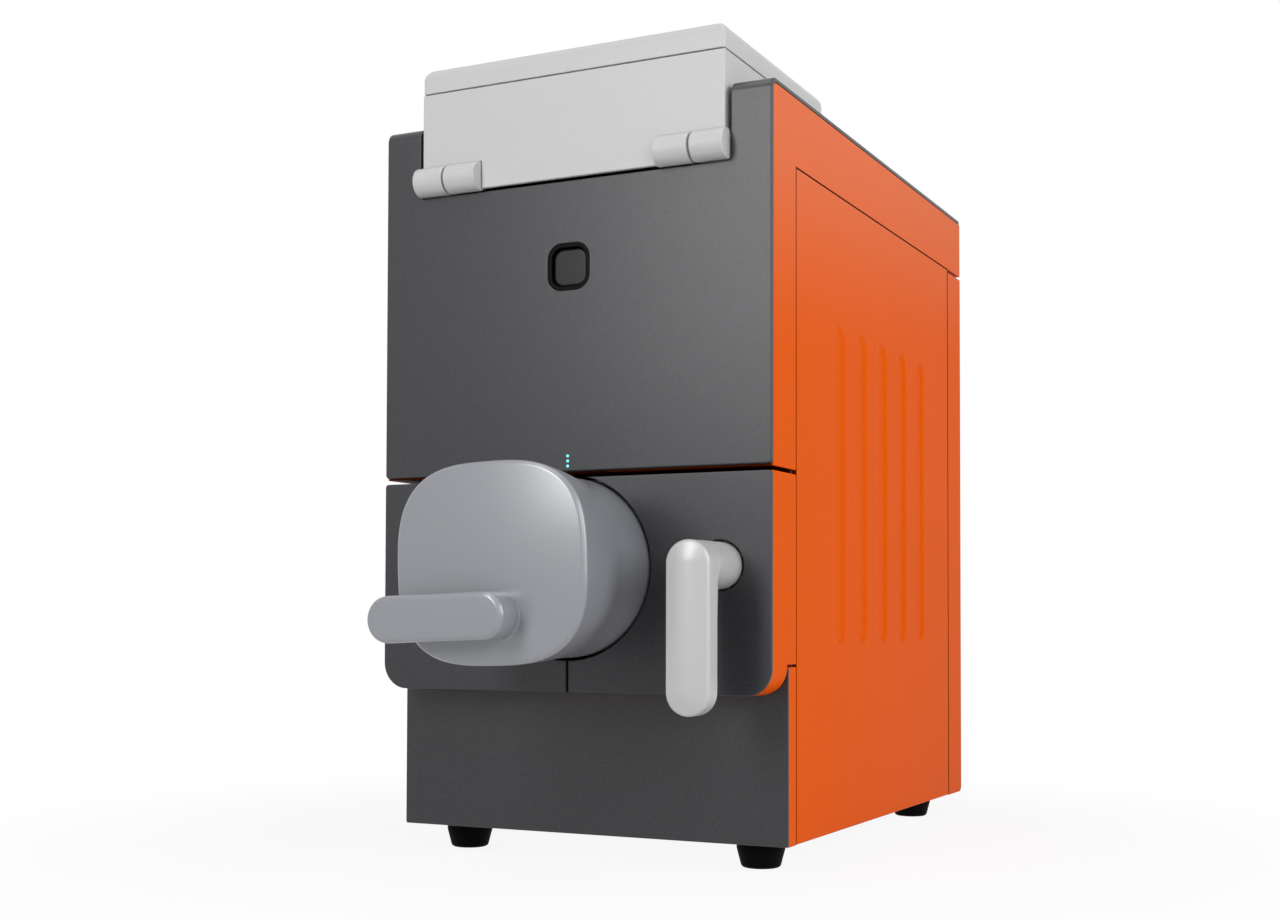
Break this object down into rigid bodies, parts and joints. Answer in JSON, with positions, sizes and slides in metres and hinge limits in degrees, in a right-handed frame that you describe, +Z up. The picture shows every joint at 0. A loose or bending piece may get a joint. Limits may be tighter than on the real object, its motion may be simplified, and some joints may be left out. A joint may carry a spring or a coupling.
{
  "type": "tabletop scanning electron microscope",
  "caption": "Upright bench electron microscope with a pull-out drum door, specimen stage, turning lever, hinged top lid, power button and rear fan.",
  "frame": {"origin": "centre of the whole object's footprint box, on the surface that the feet stand on", "axes": "+Z up, the operator stands on the -Y side, +X to the operator's right"},
  "size_m": [0.26, 0.4966, 0.4879],
  "materials": {
    "grey_powder_coat": "fine metallic-fleck powder coat",
    "orange_paint": "satin orange paint",
    "light_grey_shell": "satin light grey",
    "drum_grey": "satin bluish grey",
    "lever_white": "satin off-white",
    "black_rubber": "matt black rubber",
    "black_plastic": "matt black",
    "chassis_steel": "zinc-plated sheet",
    "milled_aluminium": "milled",
    "ground_steel": "ground",
    "bearing_bronze": "sintered bronze",
    "painted_case": "grey enamel",
    "circuit_green": "solder mask",
    "status_teal": "clear teal lens"
  },
  "bodies": {
    "root": {"upper_cover": "grey_powder_coat", "upper_housing": "orange_paint", "side_panel_left": "orange_paint", "side_panel_right": "orange_paint", "rear_cover": "orange_paint", "plinth_frame": "orange_paint", "plinth_panel": "grey_powder_coat", "fascia_block": "orange_paint", "fascia_panel_left": "grey_powder_coat", "fascia_panel_right": "grey_powder_coat", "base_plate": "chassis_steel", "side_frame_left": "chassis_steel", "side_frame_right": "chassis_steel", "chassis_shelf": "chassis_steel", "top_deck": "chassis_steel", "lid_well": "chassis_steel", "feet": "black_rubber", "body_knuckles": "light_grey_shell", "hinge_pins": "ground_steel", "guide_bushes": "bearing_bronze", "vacuum_chamber": "milled_aluminium", "chamber_mounts": "black_rubber", "objective_lens": "ground_steel", "electron_detector": "ground_steel", "column_tube": "ground_steel", "gun_housing": "milled_aluminium", "gun_cap": "milled_aluminium", "lever_bearing": "milled_aluminium", "vent_valve": "bearing_bronze", "button_bezel": "black_plastic", "status_lights": "status_teal", "turbo_pump": "ground_steel", "vacuum_duct": "milled_aluminium", "backing_pump": "painted_case", "power_supply": "painted_case", "high_voltage_supply": "painted_case", "main_board": "circuit_green", "fan_frame": "black_plastic", "mains_inlet": "black_plastic", "data_sockets": "black_plastic"},
    "lid": {"lid_shell": "light_grey_shell", "lid_cap": "light_grey_shell", "lid_knuckles": "light_grey_shell"},
    "door": {"door_drum": "drum_grey", "door_handle": "drum_grey", "door_flange": "milled_aluminium", "door_seal": "black_rubber", "guide_rods": "ground_steel", "stage_bracket": "milled_aluminium"},
    "stage_y": {"stage_y_carriage": "milled_aluminium"},
    "stage_x": {"stage_x_carriage": "milled_aluminium", "sample_cup": "milled_aluminium", "sample_stub": "milled_aluminium"},
    "lever": {"lever_handle": "lever_white", "lever_shaft": "ground_steel"},
    "button": {"power_button": "black_plastic"},
    "rocker": {"mains_rocker": "black_plastic"},
    "fan": {"fan_rotor": "black_plastic"}
  },
  "joints": [
    {"name": "lid_hinge", "type": "hinge", "parent": "root", "child": "lid", "pos_m": [0, -0.14125, 0.4163], "axis": [1, 0, 0], "range_deg": [0, 100]},
    {"name": "door_slide", "type": "slide", "parent": "root", "child": "door", "axis": [0, -1, 0], "range_m": [0, 0.13]},
    {"name": "stage_y_slide", "type": "slide", "parent": "door", "child": "stage_y", "axis": [0, 1, 0], "range_m": [-0.012, 0.012]},
    {"name": "stage_x_slide", "type": "slide", "parent": "stage_y", "child": "stage_x", "axis": [1, 0, 0], "range_m": [-0.012, 0.012]},
    {"name": "lever_turn", "type": "hinge", "parent": "root", "child": "lever", "pos_m": [0.0982, -0.13885, 0.1766], "axis": [0, -1, 0], "range_deg": [0, 90]},
    {"name": "button_press", "type": "slide", "parent": "root", "child": "button", "axis": [0, 1, 0], "range_m": [0, 0.0015], "stiffness_N_per_m": 400},
    {"name": "rocker_tip", "type": "hinge", "parent": "root", "child": "rocker", "pos_m": [0.062, 0.24135, 0.0804], "axis": [1, 0, 0], "range_deg": [-7, 7]},
    {"name": "fan_spin", "type": "hinge", "parent": "root", "child": "fan", "pos_m": [-0.055, 0.23115, 0.3214], "axis": [0, 1, 0], "continuous": true}
  ]
}
